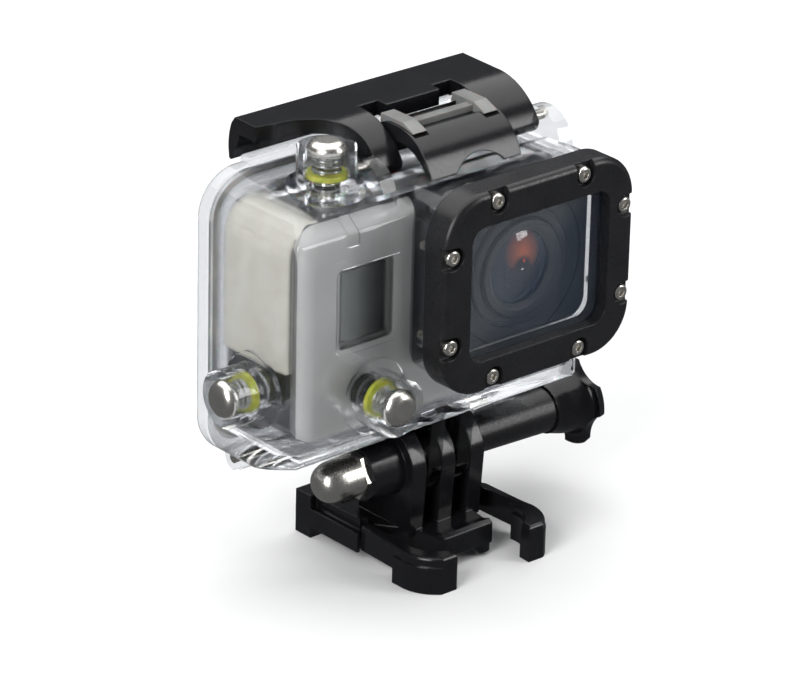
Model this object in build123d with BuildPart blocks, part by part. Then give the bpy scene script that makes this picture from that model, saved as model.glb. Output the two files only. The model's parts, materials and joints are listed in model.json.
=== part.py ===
"""Action camera in a clear waterproof housing, on a quick-release buckle.

Millimetres, +Z up. The lens looks along -Y and +X is on the right seen from the front. The origin is on
the plane the buckle rests on, straight below the middle of the mount's pivot bolt.
"""
import math
import os

from build123d import *

os.makedirs("parts", exist_ok=True)

# ---------------------------------------------------------------- driving dimensions
# mount: three buckle fingers and two housing fingers on one bolt
pivot_z = 17.2
finger_radius = 7.5
finger_thickness = 3.2
finger_pitch = 3.4
bolt_diameter = 5.0
running_gap = 0.05          # radial clearance of shafts that turn or slide

# buckle
buckle_half_width = 15.9
buckle_front_y = -20.1
buckle_rear_y = 16.0
buckle_deck_z = 6.0

# housing
housing_centre_x = -5.3
housing_width = 66.6
housing_front_y = -10.5
housing_rim_y = 13.4
housing_bottom_z = 20.8
housing_top_z = 75.2
housing_corner = 8.5
wall = 1.7
front_bottom_z = 28.3
front_top_z = 69.6
shoulder_y = -3.4
bay_z = 73.4                # floor of the latch bay in the top of the shell
door_front_y = 14.0
door_rear_y = 17.4
door_hinge_y = 12.6
door_hinge_z = 20.8
door_hinge_radius = 2.4

# camera
camera_width = 59.0
camera_height = 40.5
camera_bottom_z = 30.25
camera_front_y = -8.0
camera_rear_y = 13.0
lens_x = 8.8
lens_z = 55.8

# lens port
port_x = 8.15
port_z = 56.2
frame_width = 44.1
frame_height = 37.6
frame_front_y = -20.9
frame_rear_y = -15.2
window_width = 32.3
window_height = 25.4
glass_width = 36.2
glass_height = 29.2
glass_front_y = -18.9
glass_thickness = 1.8
block_width = 42.4
block_height = 35.8
screw_spots = [(sx * 10.1, sz * 16.5) for sx in (-1, 1) for sz in (-1, 1)]
screw_spots += [(sx * 20.05, sz * 8.4) for sx in (-1, 1) for sz in (-1, 1)]

# push buttons, measured outwards from the housing's outer face
sleeve_radius = 5.3
sleeve_height = 7.6
sleeve_bore = 3.75
flange_radius = 7.0
flange_height = 1.1
button_floor = 2.2          # thickness of the floor that guides the stem
head_radius = 3.55
head_underside = 6.6
head_rim = 6.9              # the round shoulder starts here
head_top = 8.8
stem_radius = 1.5
washer_height = 0.9
stem_gap = 0.7              # stem's end to the camera's own button

# latch
latch_centre_x = 1.9
plate_left_x = -29.6
plate_right_x = 23.0
plate_top_z = 83.1
plate_thickness = 2.9
hook_pivot_y = -0.7
hook_pivot_z = 76.3
hook_end_radius = 2.5
lever_pivot_y = 2.4
lever_pivot_z = 78.3
lever_half_width = 10.4
arm_outer_left_x = -14.4
arm_inner_left_x = -8.9
arm_inner_right_x = 12.7
ear_thickness = 3.0
latch_pin_radius = 1.0

# ---------------------------------------------------------------- derived places
housing_left_x = housing_centre_x - housing_width / 2
housing_right_x = housing_centre_x + housing_width / 2
housing_mid_z = (housing_bottom_z + housing_top_z) / 2
housing_height = housing_top_z - housing_bottom_z
cavity_left_x = housing_left_x + wall
cavity_right_x = housing_right_x - wall
cavity_bottom_z = camera_bottom_z - 0.05
cavity_top_z = bay_z - wall
cavity_front_y = housing_front_y + wall
camera_left_x = housing_centre_x - camera_width / 2
camera_mid_z = camera_bottom_z + camera_height / 2
camera_top_z = camera_bottom_z + camera_height
pivot_axis = Axis((0, 0, pivot_z), (1, 0, 0))
button_planes = {
    "shutter": Plane(origin=(-25.2, -2.0, housing_top_z), x_dir=(1, 0, 0), z_dir=(0, 0, 1)),
    "mode": Plane(origin=(-21.2, housing_front_y, 38.1), x_dir=(1, 0, 0), z_dir=(0, -1, 0)),
    "wifi": Plane(origin=(housing_left_x, 0.0, 40.3), x_dir=(0, 1, 0), z_dir=(-1, 0, 0)),
}
# height of the camera's own button above the housing's outer face, along the same axis
camera_button_tops = {
    "shutter": camera_top_z + 0.5 - housing_top_z,
    "mode": housing_front_y - (camera_front_y - 0.5),
    "wifi": housing_left_x - (camera_left_x - 0.5),
}


def save(part, name):
    """Label a finished piece and write its STEP file."""
    part.label = name
    export_step(part, f"parts/{name}.step")


def side_plane(x):
    """Sketch plane square to X: its own axes are the object's Y and Z."""
    return Plane(origin=(x, 0, 0), x_dir=(0, 1, 0), z_dir=(1, 0, 0))


def front_plane(y):
    """Sketch plane facing the front: its own axes are X and Z, its normal points to -Y."""
    return Plane(origin=(0, y, 0), x_dir=(1, 0, 0), z_dir=(0, -1, 0))


# ================================================================ buckle
finger_centres_buckle = [-2 * finger_pitch, 0.0, 2 * finger_pitch]
finger_centres_housing = [-finger_pitch, finger_pitch]
finger_outer_x = 2 * finger_pitch + finger_thickness / 2
nut_boss_length = 6.9
deck_half_front = 5.6
rail_inner_x = 12.9
rail_top_z = 5.8
lip_y = -13.4
arm_root_x = 13.8
arm_root_y = -1.6
arm_root_radius = 1.2
arm_gap = 0.3               # between a spring arm's round root and its seat

with BuildPart() as buckle_base:
    # deck: wide between the rails at the rear, narrow tongue at the front
    with BuildSketch(Plane.XY.offset(2.2)):
        with BuildLine():
            Polyline(
                (-14.6, 12.5), (-14.6, -0.4), (-11.0, -0.4), (-deck_half_front - 1.2, -6.0),
                (-deck_half_front, lip_y), (deck_half_front, lip_y), (deck_half_front + 1.2, -6.0),
                (11.0, -0.4), (14.6, -0.4), (14.6, 12.5), close=True,
            )
        make_face()
    extrude(amount=buckle_deck_z - 2.2)
    # rails that slide in a base, with stop blocks at their rear ends
    for side in (-1, 1):
        with Locations((side * (buckle_half_width + rail_inner_x) / 2, 5.5, (2.1 + rail_top_z) / 2)):
            Box(buckle_half_width - rail_inner_x, 13.6, rail_top_z - 2.1)
        with Locations((side * (buckle_half_width - 2.1), buckle_rear_y - 2.1, 4.2)):
            Box(4.2, 4.2, 8.4)
        # wall above each rail
        with Locations((side * 13.6, 5.6, 6.6)):
            Box(1.8, 13.4, 2.6)
    # rear bar between the stop blocks
    with Locations((0, buckle_rear_y - 2.6, 4.9)):
        Box(26.0, 3.2, 5.0)
    # posts under the front corners of the tongue
    for side in (-1, 1):
        with BuildSketch(Plane.XY.offset(0.6)):
            with Locations((side * (deck_half_front - 1.3), lip_y + 1.5)):
                RectangleRounded(2.6, 3.0, 0.9)
        extrude(amount=3.0)
    # raised lip across the front edge of the tongue
    with BuildSketch(side_plane(-deck_half_front)):
        with BuildLine():
            Polyline((lip_y, 5.0), (lip_y, 6.4), (lip_y + 0.9, 6.9), (lip_y + 3.4, 6.0),
                     (lip_y + 3.4, 5.0), close=True)
        make_face()
    extrude(amount=2 * deck_half_front)
    # fingers and the boss that takes the nut
    for centre in finger_centres_buckle:
        with BuildSketch(side_plane(centre - finger_thickness / 2)):
            with Locations((0, pivot_z)):
                Circle(finger_radius)
            with BuildLine():
                Polyline((-finger_radius, pivot_z), (-6.6, buckle_deck_z - 1), (7.2, buckle_deck_z - 1),
                         (finger_radius, pivot_z), close=True)
            make_face()
        extrude(amount=finger_thickness)
    with BuildSketch(side_plane(-finger_outer_x)):
        with Locations((0, pivot_z)):
            Circle(5.6)
    extrude(amount=-nut_boss_length, taper=4)
    lip_edges = buckle_base.edges().filter_by(Axis.X).filter_by(
        lambda e: e.center().Z < 3.2 and e.center().Y < lip_y + 1)
    fillet(lip_edges, 0.5)
    # round seats for the roots of the spring arms
    with BuildSketch(Plane.XY.offset(2.0)):
        with Locations((-arm_root_x, arm_root_y), (arm_root_x, arm_root_y)):
            Circle(arm_root_radius + arm_gap)
    extrude(amount=8.0, mode=Mode.SUBTRACT)
    # bolt bore
    with BuildSketch(side_plane(finger_outer_x)):
        with Locations((0, pivot_z)):
            Circle(bolt_diameter / 2 + running_gap)
    extrude(amount=-(2 * finger_outer_x + nut_boss_length), mode=Mode.SUBTRACT)
save(buckle_base.part, "buckle_base")


def buckle_arm(side):
    """Spring arm with the barbed pad that snaps into a base; side is -1 on the left, 1 on the right."""
    with BuildPart() as arm:
        with BuildSketch(Plane.XY.offset(2.4)):
            with BuildLine():
                Polyline((side * 12.6, -1.6), (side * 15.0, -1.6), (side * 15.3, -10.8))
                Line((side * 15.3, -10.8), (side * 15.6, -13.0))
                ThreePointArc((side * 15.6, -13.0), (side * 14.6, -17.2), (side * 11.9, buckle_front_y))
                Line((side * 11.9, buckle_front_y), (side * 8.6, buckle_front_y))
                Line((side * 8.6, buckle_front_y), (side * 8.8, -17.6))
                ThreePointArc((side * 8.8, -17.6), (side * 12.0, -14.8), (side * 12.9, -10.0))
                Line((side * 12.9, -10.0), (side * 12.6, -1.6))
            make_face()
            with Locations((side * arm_root_x, arm_root_y)):
                Circle(arm_root_radius)
        extrude(amount=4.6)
        with BuildSketch(Plane.XY):
            with BuildLine():
                Line((side * 12.4, -10.9), (side * buckle_half_width, -10.9))
                Line((side * buckle_half_width, -10.9), (side * buckle_half_width, -13.2))
                ThreePointArc((side * buckle_half_width, -13.2), (side * 14.8, -17.4),
                              (side * 12.1, buckle_front_y))
                Line((side * 12.1, buckle_front_y), (side * 8.6, buckle_front_y))
                Line((side * 8.6, buckle_front_y), (side * 8.8, -17.4))
                ThreePointArc((side * 8.8, -17.4), (side * 11.6, -15.2), (side * 12.4, -10.9))
            make_face()
        extrude(amount=5.2)
        fillet(arm.edges().filter_by(lambda e: e.center().Z > 6.9), 0.6)
    return arm.part


save(buckle_arm(-1), "buckle_arm_left")
save(buckle_arm(1), "buckle_arm_right")

# ================================================================ thumb screw and nut
nut_face_x = -finger_outer_x - nut_boss_length
nut_dome_radius = 4.0
nut_length = 9.4
barrel_start_x = finger_outer_x + 0.1
barrel_end_x = 29.2
knob_end_x = 37.6
knob_radius = 8.4
knob_lobes = 4

with BuildPart() as acorn_nut:
    with BuildSketch(side_plane(nut_face_x)):
        with Locations((0, pivot_z)):
            RegularPolygon(4.0, 6, major_radius=False)
    extrude(amount=-1.2)
    with BuildSketch(Plane.XY.offset(pivot_z)):
        with BuildLine():
            tip_x = nut_face_x - nut_length
            Line((nut_face_x - 1.2, 0), (nut_face_x - 1.2, nut_dome_radius))
            Line((nut_face_x - 1.2, nut_dome_radius), (nut_face_x - 4.6, nut_dome_radius - 0.1))
            Spline((nut_face_x - 4.6, nut_dome_radius - 0.1), (tip_x, 0), tangents=((-1, 0), (0, -1)),
                   tangent_scalars=(1.4, 1.4))
            Line((tip_x, 0), (nut_face_x - 1.2, 0))
        make_face()
    revolve(axis=pivot_axis)
    with BuildSketch(side_plane(nut_face_x)):
        with Locations((0, pivot_z)):
            Circle(bolt_diameter / 2)
    extrude(amount=-4.4, mode=Mode.SUBTRACT)
save(acorn_nut.part, "acorn_nut")

with BuildPart() as thumb_screw_barrel:
    with BuildSketch(Plane.XY.offset(pivot_z)):
        with BuildLine():
            Polyline((barrel_start_x, bolt_diameter / 2), (barrel_start_x, 3.75), (barrel_end_x, 4.3),
                     (barrel_end_x, bolt_diameter / 2), close=True)
        make_face()
    revolve(axis=pivot_axis)
save(thumb_screw_barrel.part, "thumb_screw_barrel")

with BuildPart() as thumb_screw_knob:
    with BuildSketch(Plane.XY.offset(pivot_z)):
        with BuildLine():
            Line((barrel_end_x, 0), (barrel_end_x, 4.7))
            Spline((barrel_end_x, 4.7), (32.4, 5.5), (36.0, knob_radius - 0.3),
                   (knob_end_x - 1.6, knob_radius),
                   tangents=((1, 0.1), (1, 0)))
            Polyline((knob_end_x - 1.6, knob_radius), (knob_end_x, knob_radius - 0.5), (knob_end_x, 0))
            Line((knob_end_x, 0), (barrel_end_x, 0))
        make_face()
    revolve(axis=pivot_axis)
    # flutes between the lobes, running out towards the barrel
    with BuildSketch(side_plane(knob_end_x)):
        with Locations((0, pivot_z)):
            with PolarLocations(knob_radius + 4.0, knob_lobes, start_angle=30):
                Circle(6.3)
    extrude(amount=-9.0, taper=6, mode=Mode.SUBTRACT)
    # dished end face
    with BuildSketch(side_plane(knob_end_x)):
        with Locations((0, pivot_z)):
            Circle(4.2)
    extrude(amount=-0.8, taper=30, mode=Mode.SUBTRACT)
    # hexagon pocket and bore that hold the bolt
    with BuildSketch(side_plane(barrel_end_x)):
        with Locations((0, pivot_z)):
            Circle(bolt_diameter / 2)
    extrude(amount=2.0, mode=Mode.SUBTRACT)
    with BuildSketch(side_plane(barrel_end_x + 2.0)):
        with Locations((0, pivot_z)):
            RegularPolygon(4.0, 6, major_radius=False)
    extrude(amount=3.5, mode=Mode.SUBTRACT)
save(thumb_screw_knob.part, "thumb_screw_knob")

with BuildPart() as thumb_screw_bolt:
    with BuildSketch(side_plane(nut_face_x - 4.2)):
        with Locations((0, pivot_z)):
            Circle(bolt_diameter / 2 - 0.02)
    extrude(amount=barrel_end_x + 2.0 - nut_face_x + 4.2)
    with BuildSketch(side_plane(barrel_end_x + 2.0)):
        with Locations((0, pivot_z)):
            RegularPolygon(4.0, 6, major_radius=False)
    extrude(amount=3.5)
save(thumb_screw_bolt.part, "thumb_screw_bolt")

# ================================================================ housing shell
block_front_y = frame_rear_y
keel_y = 8.5                # the underside slopes down from the front face to here
floor_flat_y = 1.7          # inside, the sloping floor ends here
floor_z = 26.0
ear_centre = (-2.2, 72.2)
ear_radius = 6.4
shoulder_rib_x = -27.4
shoulder_rib_width = 2.4
shoulder_rib_height = 0.5
camera_rib_xs = [housing_centre_x - 22.0, housing_centre_x + 22.0]
ear_starts = [arm_outer_left_x - 0.35 - ear_thickness, plate_right_x + 0.35]
knuckle_half_span = 28.0
knuckle_inner = 18.5        # door knuckle reaches this far each side of the housing's middle

with BuildPart() as camera_bay:
    with BuildSketch(side_plane(cavity_left_x)):
        with BuildLine():
            Polyline((cavity_front_y, cavity_bottom_z), (cavity_front_y, 68.9), (-5.8, cavity_top_z),
                     (housing_rim_y + 0.1, cavity_top_z), (housing_rim_y + 0.1, floor_z),
                     (floor_flat_y, floor_z), close=True)
        make_face()
    extrude(amount=cavity_right_x - cavity_left_x)
    with BuildSketch(front_plane(housing_rim_y + 0.1)):
        with Locations((housing_centre_x, (floor_z + cavity_top_z) / 2)):
            RectangleRounded(cavity_right_x - cavity_left_x, cavity_top_z - floor_z, 5.5)
    extrude(amount=housing_rim_y + 0.1 - cavity_front_y, mode=Mode.INTERSECT)
    # two ribs that the camera stands on
    for x in camera_rib_xs:
        with Locations((x, 2.5, cavity_bottom_z - 5)):
            Box(2.0, 30.0, 10.0, mode=Mode.SUBTRACT)

with BuildPart() as front_shell:
    with BuildSketch(side_plane(housing_left_x)):
        with BuildLine():
            Polyline((housing_front_y, front_bottom_z), (housing_front_y, front_top_z),
                     (shoulder_y, housing_top_z), (housing_rim_y, housing_top_z),
                     (housing_rim_y, housing_bottom_z), (keel_y, housing_bottom_z), close=True)
        make_face()
    extrude(amount=housing_width)
    with BuildSketch(front_plane(housing_rim_y)):
        with Locations((housing_centre_x, housing_mid_z)):
            RectangleRounded(housing_width, housing_height, housing_corner)
    extrude(amount=housing_rim_y - housing_front_y, mode=Mode.INTERSECT)
    keel_edges = front_shell.edges().filter_by(GeomType.ELLIPSE).filter_by(
        lambda e: e.center().Z < pivot_z + 13)
    fillet(front_shell.faces().sort_by(Axis.Y)[0].edges() + keel_edges, 1.3)
    # bay in the top for the latch's arms
    with Locations(((arm_outer_left_x + plate_right_x) / 2, -2.4, bay_z + 5)):
        Box(plate_right_x - arm_outer_left_x + 0.7, 11.2, 10, mode=Mode.SUBTRACT)
    # block that carries the lens port
    with BuildSketch(front_plane(-5.0)):
        with Locations((port_x, port_z)):
            RectangleRounded(block_width, block_height, 7.8)
    extrude(amount=-5.0 - block_front_y)
    # collar and sleeve of each push button
    for plane in button_planes.values():
        with BuildSketch(plane.offset(-0.8)):
            Circle(flange_radius)
        extrude(amount=0.8 + flange_height)
        with BuildSketch(plane.offset(-0.8)):
            Circle(sleeve_radius)
        extrude(amount=0.8 + sleeve_height)
    # rib over the shoulder, under the shutter button
    with BuildSketch(side_plane(shoulder_rib_x)):
        with BuildLine():
            Polyline((shoulder_y + 1.0, housing_top_z - 0.5),
                     (shoulder_y, housing_top_z + shoulder_rib_height),
                     (housing_front_y - shoulder_rib_height, front_top_z + 0.2),
                     (housing_front_y - shoulder_rib_height, front_top_z - 2.2),
                     (housing_front_y + 1.0, front_top_z - 2.2), close=True)
        make_face()
    extrude(amount=shoulder_rib_width)
    # ears that hold the latch's pivot pins
    for start in ear_starts:
        with BuildSketch(side_plane(start)):
            with Locations(ear_centre):
                Circle(ear_radius)
        extrude(amount=ear_thickness)
    # mount fingers
    for centre in finger_centres_housing:
        with BuildSketch(side_plane(centre - finger_thickness / 2)):
            with Locations((0, pivot_z)):
                Circle(finger_radius)
            with BuildLine():
                Polyline((-finger_radius, pivot_z), (-finger_radius - 0.8, 27.8), (finger_radius, 25.4),
                         (finger_radius, pivot_z), close=True)
            make_face()
        extrude(amount=finger_thickness)
    # groove for the door's knuckle, and the shell's own knuckles at both ends
    with BuildSketch(side_plane(housing_centre_x - knuckle_inner - 0.3)):
        with Locations((door_hinge_y, door_hinge_z)):
            Circle(door_hinge_radius + 0.3)
    extrude(amount=2 * knuckle_inner + 0.6, mode=Mode.SUBTRACT)
    for side in (-1, 1):
        start = housing_centre_x + (knuckle_inner + 0.3 if side > 0 else -knuckle_half_span)
        with BuildSketch(side_plane(start)):
            with Locations((door_hinge_y, door_hinge_z)):
                Circle(door_hinge_radius)
            with BuildLine():
                Polyline((door_hinge_y - door_hinge_radius, door_hinge_z),
                         (door_hinge_y - door_hinge_radius, door_hinge_z + 2.0),
                         (housing_rim_y, door_hinge_z + 2.0), (housing_rim_y, door_hinge_z), close=True)
            make_face()
        extrude(amount=knuckle_half_span - knuckle_inner - 0.3)
    add(camera_bay.part, mode=Mode.SUBTRACT)
    # clearance for the buckle's fingers
    for centre in finger_centres_buckle:
        with BuildSketch(side_plane(centre - finger_thickness / 2 - 0.2)):
            with Locations((0, pivot_z)):
                Circle(finger_radius + 0.6)
        extrude(amount=finger_thickness + 0.4, mode=Mode.SUBTRACT)
    # opening behind the lens window
    with BuildSketch(front_plane(cavity_front_y + 0.1)):
        with Locations((port_x, port_z)):
            RectangleRounded(34.8, 28.0, 4.0)
    extrude(amount=cavity_front_y + 0.1 - block_front_y, mode=Mode.SUBTRACT)
    # shallow window over the camera's display
    with BuildSketch(front_plane(housing_front_y)):
        with Locations((-21.8, 55.2)):
            RectangleRounded(15.0, 16.2, 1.4)
    extrude(amount=-0.5, mode=Mode.SUBTRACT)
    # holes for the frame's screws
    with BuildSketch(front_plane(block_front_y)):
        with Locations((port_x, port_z)):
            with Locations(screw_spots):
                Circle(0.8)
    extrude(amount=-3.0, mode=Mode.SUBTRACT)
    # stepped bore of each push button
    for plane in button_planes.values():
        with BuildSketch(plane.offset(button_floor)):
            Circle(sleeve_bore)
        extrude(amount=sleeve_height, mode=Mode.SUBTRACT)
        with BuildSketch(plane.offset(-2.0)):
            Circle(stem_radius + running_gap)
        extrude(amount=5.0, mode=Mode.SUBTRACT)
        with BuildSketch(plane.offset(-2.0)):
            Circle(2.35)
        extrude(amount=3.2, mode=Mode.SUBTRACT)
        with BuildSketch(plane.offset(-4.0)):
            Circle(3.3)
        extrude(amount=4.0, mode=Mode.SUBTRACT)
    # bores for the mount bolt, the door's hinge pin and the latch's pivot pins
    with BuildSketch(side_plane(-finger_outer_x)):
        with Locations((0, pivot_z)):
            Circle(bolt_diameter / 2 + running_gap)
    extrude(amount=2 * finger_outer_x, mode=Mode.SUBTRACT)
    with BuildSketch(side_plane(housing_centre_x - knuckle_half_span)):
        with Locations((door_hinge_y, door_hinge_z)):
            Circle(1.0)
    extrude(amount=2 * knuckle_half_span, mode=Mode.SUBTRACT)
    for start in ear_starts:
        with BuildSketch(side_plane(start)):
            with Locations((hook_pivot_y, hook_pivot_z)):
                Circle(latch_pin_radius)
        extrude(amount=ear_thickness, mode=Mode.SUBTRACT)
save(front_shell.part, "housing_front_shell")

# ================================================================ back door
door_left = housing_centre_x - knuckle_inner
lip_left_x = -28.6
lip_right_x = 19.0

gasket_inset = 1.2
gasket_width = 1.3
gasket_depth = 0.9          # depth of its groove in the door
gasket_bottom_z = door_hinge_z + door_hinge_radius + 0.9
gasket_top_z = housing_top_z - gasket_inset
gasket_outer = (housing_width - 2 * gasket_inset, gasket_top_z - gasket_bottom_z)
gasket_centre = (housing_centre_x, (gasket_top_z + gasket_bottom_z) / 2)


def gasket_ring():
    """Outline of the door's gasket, in the open sketch."""
    with Locations(gasket_centre):
        RectangleRounded(*gasket_outer, 7.3)
        RectangleRounded(gasket_outer[0] - 2 * gasket_width, gasket_outer[1] - 2 * gasket_width, 6.0,
                         mode=Mode.SUBTRACT)


with BuildPart() as back_door:
    with BuildSketch(front_plane(door_rear_y)):
        with Locations((housing_centre_x, housing_mid_z)):
            RectangleRounded(housing_width, housing_height, housing_corner)
    extrude(amount=door_rear_y - door_front_y)
    fillet(back_door.faces().sort_by(Axis.Y)[-1].edges(), 1.5)
    with BuildSketch(front_plane(door_front_y)):
        with Locations(gasket_centre):
            RectangleRounded(gasket_outer[0] - 4.6, gasket_outer[1] - 4.6, 5.0)
    extrude(amount=-1.6, mode=Mode.SUBTRACT)
    with BuildSketch(front_plane(door_front_y)):
        gasket_ring()
    extrude(amount=-gasket_depth, mode=Mode.SUBTRACT)
    # lip that the latch's hook closes over; its rear face leans forwards
    with BuildSketch(side_plane(lip_left_x)):
        with BuildLine():
            Polyline((14.0, 74.6), (14.0, 75.7), (14.6, 76.2), (16.8, 76.2), (17.25, 75.2),
                     (17.0, 73.4), close=True)
        make_face()
    extrude(amount=lip_right_x - lip_left_x)
    # room for the shell's knuckles, then the door's own knuckle in the middle and the web that joins it
    for start in (housing_centre_x - knuckle_half_span - 0.3, housing_centre_x + knuckle_inner):
        with BuildSketch(side_plane(start)):
            with Locations((door_hinge_y, door_hinge_z)):
                Circle(door_hinge_radius + 0.3)
        extrude(amount=knuckle_half_span - knuckle_inner + 0.3, mode=Mode.SUBTRACT)
    with BuildSketch(side_plane(door_left)):
        with Locations((door_hinge_y, door_hinge_z)):
            Circle(door_hinge_radius)
        with BuildLine():
            Polyline((door_hinge_y, door_hinge_z - door_hinge_radius),
                     (door_rear_y - 1.4, door_hinge_z - 1.6),
                     (door_rear_y - 1.4, door_hinge_z + 1.0),
                     (door_hinge_y, door_hinge_z + 1.0), close=True)
        make_face()
    extrude(amount=2 * knuckle_inner)
    with BuildSketch(side_plane(door_left)):
        with Locations((door_hinge_y, door_hinge_z)):
            Circle(1.0 + running_gap)
    extrude(amount=2 * knuckle_inner, mode=Mode.SUBTRACT)
save(back_door.part, "housing_back_door")

with BuildPart() as door_gasket:
    with BuildSketch(front_plane(door_front_y + gasket_depth)):
        gasket_ring()
    extrude(amount=door_front_y + gasket_depth - housing_rim_y - 0.08)
save(door_gasket.part, "door_gasket")

with BuildPart() as door_hinge_pin:
    with BuildSketch(side_plane(housing_centre_x - knuckle_half_span)):
        with Locations((door_hinge_y, door_hinge_z)):
            Circle(1.0)
    extrude(amount=2 * knuckle_half_span)
save(door_hinge_pin.part, "door_hinge_pin")

# ================================================================ lens port
notch_width = 4.2
screw_head_radius = 1.5

with BuildPart() as lens_frame:
    with BuildSketch(front_plane(frame_rear_y)):
        with Locations((port_x, port_z)):
            RectangleRounded(frame_width, frame_height, 8.6)
    extrude(amount=frame_rear_y - frame_front_y)
    fillet(lens_frame.faces().sort_by(Axis.Y)[0].edges(), 1.2)
    with BuildSketch(front_plane(frame_rear_y)):
        with Locations((port_x, port_z)):
            RectangleRounded(window_width, window_height, 3.0)
    extrude(amount=frame_rear_y - frame_front_y, mode=Mode.SUBTRACT)
    with BuildSketch(front_plane(frame_rear_y)):
        with Locations((port_x, port_z)):
            RectangleRounded(glass_width + 0.2, glass_height + 0.2, 4.1)
    extrude(amount=frame_rear_y - glass_front_y, mode=Mode.SUBTRACT)
    # seats of the screws, open to the outer edge
    with BuildSketch(front_plane(frame_front_y + 1.3)):
        with Locations((port_x, port_z)):
            with Locations(screw_spots):
                Circle(notch_width / 2)
            for sx, sz in screw_spots:
                if abs(sz) > abs(sx):
                    with Locations((sx, math.copysign(abs(sz) + 2.5, sz))):
                        Rectangle(notch_width, 5.0)
                else:
                    with Locations((math.copysign(abs(sx) + 2.5, sx), sz)):
                        Rectangle(5.0, notch_width)
    extrude(amount=1.4, mode=Mode.SUBTRACT)
    with BuildSketch(front_plane(frame_rear_y)):
        with Locations((port_x, port_z)):
            with Locations(screw_spots):
                Circle(0.8)
    extrude(amount=frame_rear_y - frame_front_y, mode=Mode.SUBTRACT)
save(lens_frame.part, "lens_frame")

with BuildPart() as lens_frame_screws:
    with BuildSketch(front_plane(frame_front_y + 1.3)):
        with Locations((port_x, port_z)):
            with Locations(screw_spots):
                Circle(screw_head_radius)
    extrude(amount=1.1)
    fillet(lens_frame_screws.edges().filter_by(GeomType.CIRCLE).group_by(Axis.Y)[0], 0.45)
    with BuildSketch(front_plane(frame_front_y)):
        with Locations((port_x, port_z)):
            with Locations(screw_spots):
                RegularPolygon(0.75, 6)
    extrude(amount=-0.9, mode=Mode.SUBTRACT)
    with BuildSketch(front_plane(block_front_y + 2.8)):
        with Locations((port_x, port_z)):
            with Locations(screw_spots):
                Circle(0.8)
    extrude(amount=block_front_y + 2.8 - frame_front_y - 1.3)
save(lens_frame_screws.part, "lens_frame_screws")

with BuildPart() as lens_window_glass:
    with BuildSketch(front_plane(glass_front_y + glass_thickness)):
        with Locations((port_x, port_z)):
            RectangleRounded(glass_width, glass_height, 4.0)
    extrude(amount=glass_thickness)
save(lens_window_glass.part, "lens_window_glass")

with BuildPart() as lens_window_gasket:
    with BuildSketch(front_plane(frame_rear_y)):
        with Locations((port_x, port_z)):
            RectangleRounded(glass_width, glass_height, 4.0)
            RectangleRounded(glass_width - 2.4, glass_height - 2.4, 3.0, mode=Mode.SUBTRACT)
    extrude(amount=frame_rear_y - glass_front_y - glass_thickness)
save(lens_window_gasket.part, "lens_window_gasket")

# ================================================================ push buttons
spring_start = button_floor + washer_height
spring_radius = 2.35
spring_wire = 0.35

for name, plane in button_planes.items():
    stem_end = camera_button_tops[name] + stem_gap
    with BuildPart() as button_pin:
        with BuildSketch(plane.offset(stem_end)):
            Circle(stem_radius)
        extrude(amount=head_underside - stem_end + 0.2)
        with BuildSketch(plane.offset(head_underside)):
            Circle(head_radius)
        extrude(amount=head_top - head_underside)
        # flat crown inside a round shoulder
        head_rims = button_pin.edges().filter_by(GeomType.CIRCLE).filter_by(
            lambda e: e.radius > head_radius - 0.1)
        fillet(head_rims.sort_by(Axis(plane.origin, plane.z_dir))[-1], head_top - head_rim)
        # groove for the retaining clip
        with BuildSketch(plane.offset(-0.65)):
            Circle(stem_radius + 0.1)
            Circle(stem_radius - 0.4, mode=Mode.SUBTRACT)
        extrude(amount=0.5, mode=Mode.SUBTRACT)
    save(button_pin.part, f"{name}_button_pin")

    with BuildPart() as spring:
        with BuildSketch(plane.offset(spring_start)):
            Circle(spring_radius + spring_wire)
            Circle(spring_radius - spring_wire, mode=Mode.SUBTRACT)
        extrude(amount=head_underside - spring_start)
    save(spring.part, f"{name}_spring")

    with BuildPart() as washer:
        with BuildSketch(plane.offset(button_floor)):
            Circle(sleeve_bore - 0.15)
            Circle(stem_radius + 0.1, mode=Mode.SUBTRACT)
        extrude(amount=washer_height)
    save(washer.part, f"{name}_washer")

    with BuildPart() as o_ring:
        with BuildSketch(Plane(plane.origin + plane.z_dir * 0.6, x_dir=plane.z_dir, z_dir=plane.x_dir)):
            with Locations((0, 1.94)):
                Circle(0.39)
        revolve(axis=Axis(plane.origin, plane.z_dir))
    save(o_ring.part, f"{name}_o_ring")

    with BuildPart() as retaining_clip:
        with BuildSketch(plane.offset(-0.62)):
            Circle(2.7)
            Circle(stem_radius - 0.4, mode=Mode.SUBTRACT)
            with Locations((2.2, 0)):
                Rectangle(2.4, 1.6, mode=Mode.SUBTRACT)
        extrude(amount=0.44)
    save(retaining_clip.part, f"{name}_retaining_clip")

# ================================================================ latch
slot_rear_y = 6.9
pocket_rear_y = 9.2
pocket_width = 4.6
leg_bottom_z = 75.2
plate_under_z = plate_top_z - plate_thickness

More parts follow.
